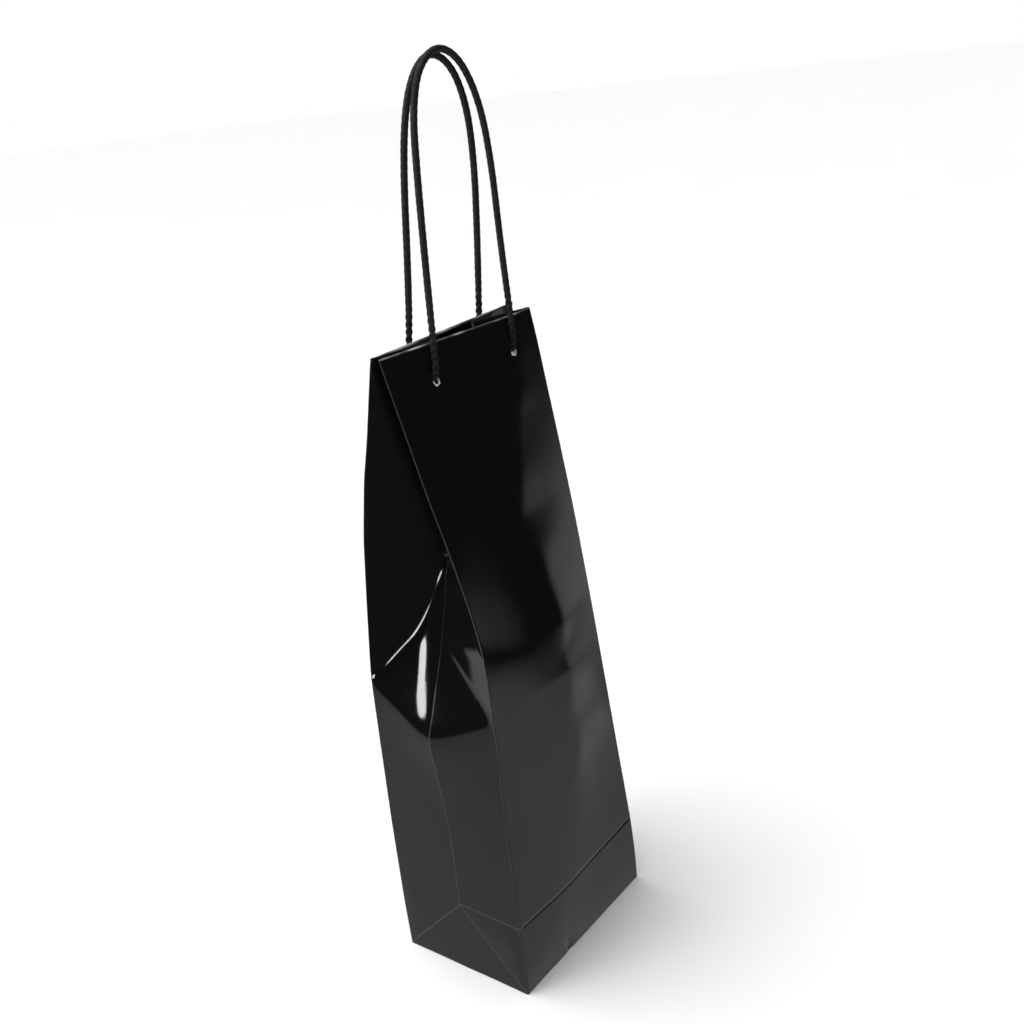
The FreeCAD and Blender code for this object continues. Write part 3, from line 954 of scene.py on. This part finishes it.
for end, out in (("front", -1), ("back", 1)):
    rope, path, length = ropePiece(end, blackYarn)
    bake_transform(rope)
    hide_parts(f"rope_{end}")
    surface = frontSurface if out < 0 else backSurface
    spot = surface(np.array([ropes["holes"][0]]), np.array([float(ropes["holeHeight"])]))[0] * mm
    print(end, "rope made,", round(length * 1000, 1), "mm")


# torn white paper at the lower half of each punched hole

torn = {"inner": 1.9, "outer": 2.4, "rise": 0.1, "steps": 40}


def tornRim(name, surface, toward, x, end):
    made = bmesh.new()
    flat = made.loops.layers.uv.new("paper")
    spots = []
    for k in range(torn["steps"] + 1):
        angle = math.radians(175 + 190 * k / torn["steps"])
        ragged = 0.35 * math.sin(5 * angle + x) + 0.25 * math.sin(11 * angle + 2 * x) \
            + 0.15 * math.sin(23 * angle)
        ends = math.sin(math.pi * k / torn["steps"]) ** 0.5
        outer = torn["inner"] + (torn["outer"] - torn["inner"] + ragged * 0.6) * ends
        for share in (0, 0.5, 1):
            reach = torn["inner"] + (max(outer, torn["inner"] + 0.1) - torn["inner"]) * share
            spots.append((x + reach * math.cos(angle), ropes["holeHeight"] + reach * math.sin(angle),
                          -torn["rise"] * (1.6 - 1.5 * share)))
    spots = np.array(spots)
    inward = inwardOf(surface, spots[:, 0], spots[:, 1], toward)
    places = (surface(spots[:, 0], spots[:, 1]) + inward * spots[:, 2:3]) * mm
    verts = [made.verts.new(p) for p in places]
    for k in range(torn["steps"]):
        for n in range(2):
            a, b = k * 3 + n, (k + 1) * 3 + n
            face = made.faces.new((verts[a], verts[a + 1], verts[b + 1], verts[b]))
            for loop, key in zip(face.loops, (a, a + 1, b + 1, b)):
                loop[flat].uv = (spots[key][0] * mm, spots[key][1] * mm)
    made.normal_update()
    if sum((f.normal for f in made.faces), Vector()).dot(Vector(toward)) > 0:
        bmesh.ops.reverse_faces(made, faces=made.faces[:])
    mesh = bpy.data.meshes.new(name)
    made.to_mesh(mesh)
    made.free()
    mesh.materials.append(pulpCore)
    piece = bpy.data.objects.new(name, mesh)
    bpy.context.scene.collection.objects.link(piece)
    pick(piece)
    wall = piece.modifiers.new("thickness", "SOLIDIFY")
    wall.thickness, wall.offset = 0.00006, -1
    bpy.ops.object.modifier_apply(modifier="thickness")
    bpy.ops.object.shade_smooth()
    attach(piece, f"{end}_panel")
    return piece


for end, surface, toward in (("front", frontSurface, (0, 1, 0)), ("back", backSurface, (0, -1, 0))):
    for x in ropes["holes"]:
        tornRim(end + ("LeftTorn" if x < 0 else "RightTorn"), surface, toward, x, end)
print("torn hole rims made")


# the CAD nodes that stay take their finish here

def dress(node, material):
    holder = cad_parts[node]
    if not holder.material_slots:
        holder.data.materials.append(material)
    for place in holder.material_slots:
        place.material = material


for node in ("base_flap_back", "base_flap_front", "base_flap_left", "base_flap_right"):
    dress(node, plainFilm)
dress("bottom_board", greyBoard)
print("kept parts dressed")


# studio

studio = {"floor": 60.0, "sun": 2.7, "side": 6.0}
noSelection()
bpy.ops.mesh.primitive_plane_add(size=studio["floor"], location=(0, 0, 0))
floor = bpy.context.active_object
floor.name = "floor"
floor.data.materials.append(floorPaint("floorPaint"))


def softbox(name, place, aim, size, power):
    light = bpy.data.lights.new(name, "AREA")
    light.shape, light.size, light.size_y, light.energy = "RECTANGLE", size[0], size[1], power
    lamp = bpy.data.objects.new(name, light)
    lamp.location = place
    lamp.rotation_euler = (Vector(aim) - Vector(place)).to_track_quat("-Z", "Y").to_euler()
    bpy.context.scene.collection.objects.link(lamp)
    return lamp


sun = bpy.data.lights.new("overhead", "SUN")
sun.energy, sun.angle = studio["sun"], math.radians(50)
overhead = bpy.data.objects.new("overhead", sun)
overhead.rotation_euler = Euler((math.radians(-18), math.radians(-14), 0), "XYZ")
overhead.location = (0, 0, 2)
bpy.context.scene.collection.objects.link(overhead)
softbox("leftFill", (-1.6, 0.9, 1.5), (0, 0, 0.2), (0.8, 0.8), studio["side"])

# a pale room to the eye; what the gloss mirrors is darker, with bright windows in it
room = {
    "pale": (1, 1, 1), "fill": 0.62, "low": 0.47, "ahead": 0.08, "right": 0.4,
    "windows": [((-161, -19), 4, 8, 16), ((145, 14), 6, 8, 16)],
}


def heading(turn, rise):
    turn, rise = math.radians(turn), math.radians(rise)
    return (math.cos(rise) * math.cos(turn), math.cos(rise) * math.sin(turn), math.sin(rise))


def roomShade():
    world = bpy.data.worlds.new("room")
    bpy.context.scene.world = world
    r = Recipe(world)
    way = r.node("ShaderNodeTexCoord", out="Generated")
    rise = r.node("ShaderNodeSeparateXYZ", {}, {0: way}, "Z")

    def toward(aim):
        return r.node("ShaderNodeVectorMath", {"operation": "DOT_PRODUCT"}, {0: way, 1: aim}, "Value")
    ahead = r.band(toward((0.76, -0.65, 0)), 0.1, 0.6, 0, room["ahead"])
    low = r.band(rise + ahead, -0.40, -0.27, room["low"], 0.004)
    right = r.band(toward((0.98, -0.2, 0)), 0.84, 0.96) * r.band(rise, -0.22, -0.02, room["right"], 0)
    keeper = r.band(toward((-0.79, -0.61, 0)), 0.5, 0.72, 1, 0.12)
    drift = r.node("ShaderNodeTexNoise", {}, {"Vector": way, "Scale": 2.6, "Detail": 2.0})
    mirrored = low.greatest(right) * keeper * (0.6 + 0.8 * drift)
    for aim, core, rim, power in room["windows"]:
        inner, outer = math.cos(math.radians(core)), math.cos(math.radians(rim))
        mirrored = mirrored.greatest(r.band(toward(heading(*aim)), outer, inner, 0, power))
    path = r.tree.nodes.new("ShaderNodeLightPath")
    seen, gloss = Wire(r, path.outputs["Is Camera Ray"]), Wire(r, path.outputs["Is Glossy Ray"])
    strength = gloss * mirrored + (1 - gloss) * (seen * (1 - room["fill"]) + room["fill"])
    shade = r.node("ShaderNodeBackground", {}, {"Color": (*room["pale"], 1), "Strength": strength})
    r.node("ShaderNodeOutputWorld", {}, {"Surface": shade})


roomShade()
bpy.context.scene.view_settings.view_transform = "Standard"
floor.visible_glossy = False
print("studio set")
